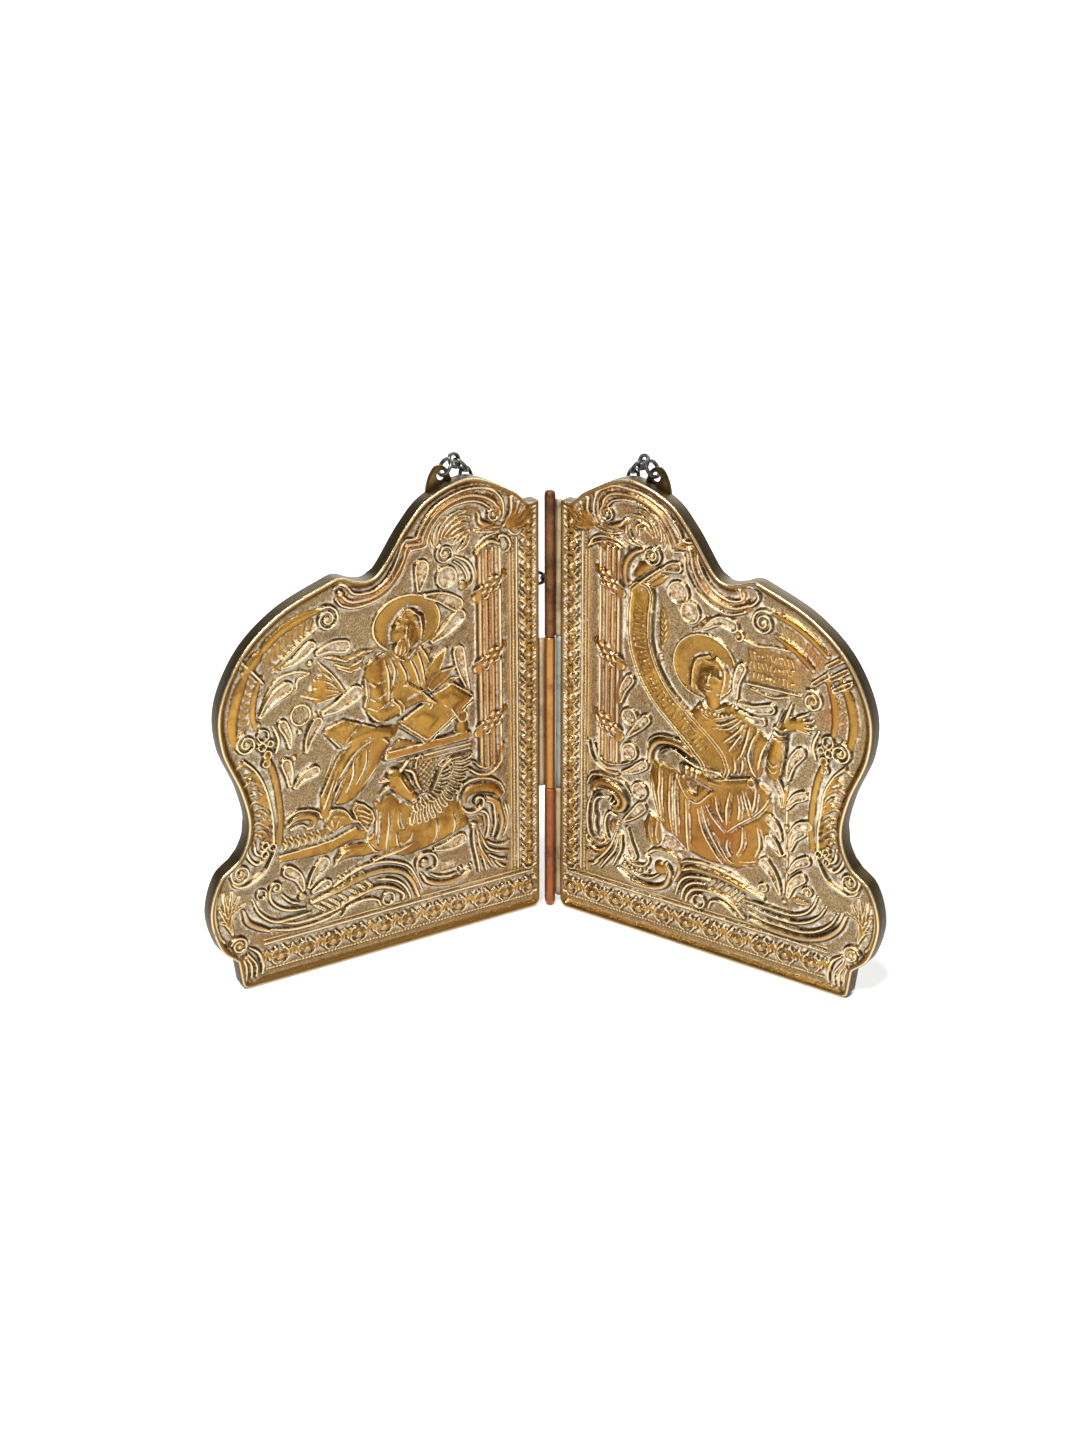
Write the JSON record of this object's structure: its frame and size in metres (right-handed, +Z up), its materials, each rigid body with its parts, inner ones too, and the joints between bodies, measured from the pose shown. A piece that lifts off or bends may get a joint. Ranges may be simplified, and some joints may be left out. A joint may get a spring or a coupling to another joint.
{
  "type": "travel icon",
  "caption": "Hinged brass travel icon with arched leaves in cast relief, a barrel hinge and a fine chain from lug to lug; stands half open on its lower edges.",
  "frame": {"origin": "on the standing surface, under the middle of the object's box", "axes": "+X along the width from the left leaf to the right leaf, +Y away from the viewer towards the hinge, +Z up"},
  "size_m": [0.1472, 0.0492, 0.1116],
  "materials": {
    "brass_leaf": "aged cast brass, polish residue in the recesses",
    "brass_barrel": "worn orange brass tube",
    "copper_barrel": "brown tarnished copper-red tube",
    "steel_chain": "dull grey steel wire"
  },
  "bodies": {
    "left_leaf": {"left_leaf": "brass_leaf", "left_knuckle": "brass_barrel", "chain_left": "steel_chain"},
    "right_leaf": {"right_leaf": "brass_leaf", "right_knuckle_top": "copper_barrel", "right_knuckle_bottom": "copper_barrel", "hinge_pin": "steel_chain", "chain_right": "steel_chain"}
  },
  "joints": [
    {"name": "leaf_hinge", "type": "hinge", "parent": "left_leaf", "child": "right_leaf", "pos_m": [0, 0.02207, 0], "axis": [0, 0, 1], "range_deg": [-112, 67]}
  ]
}
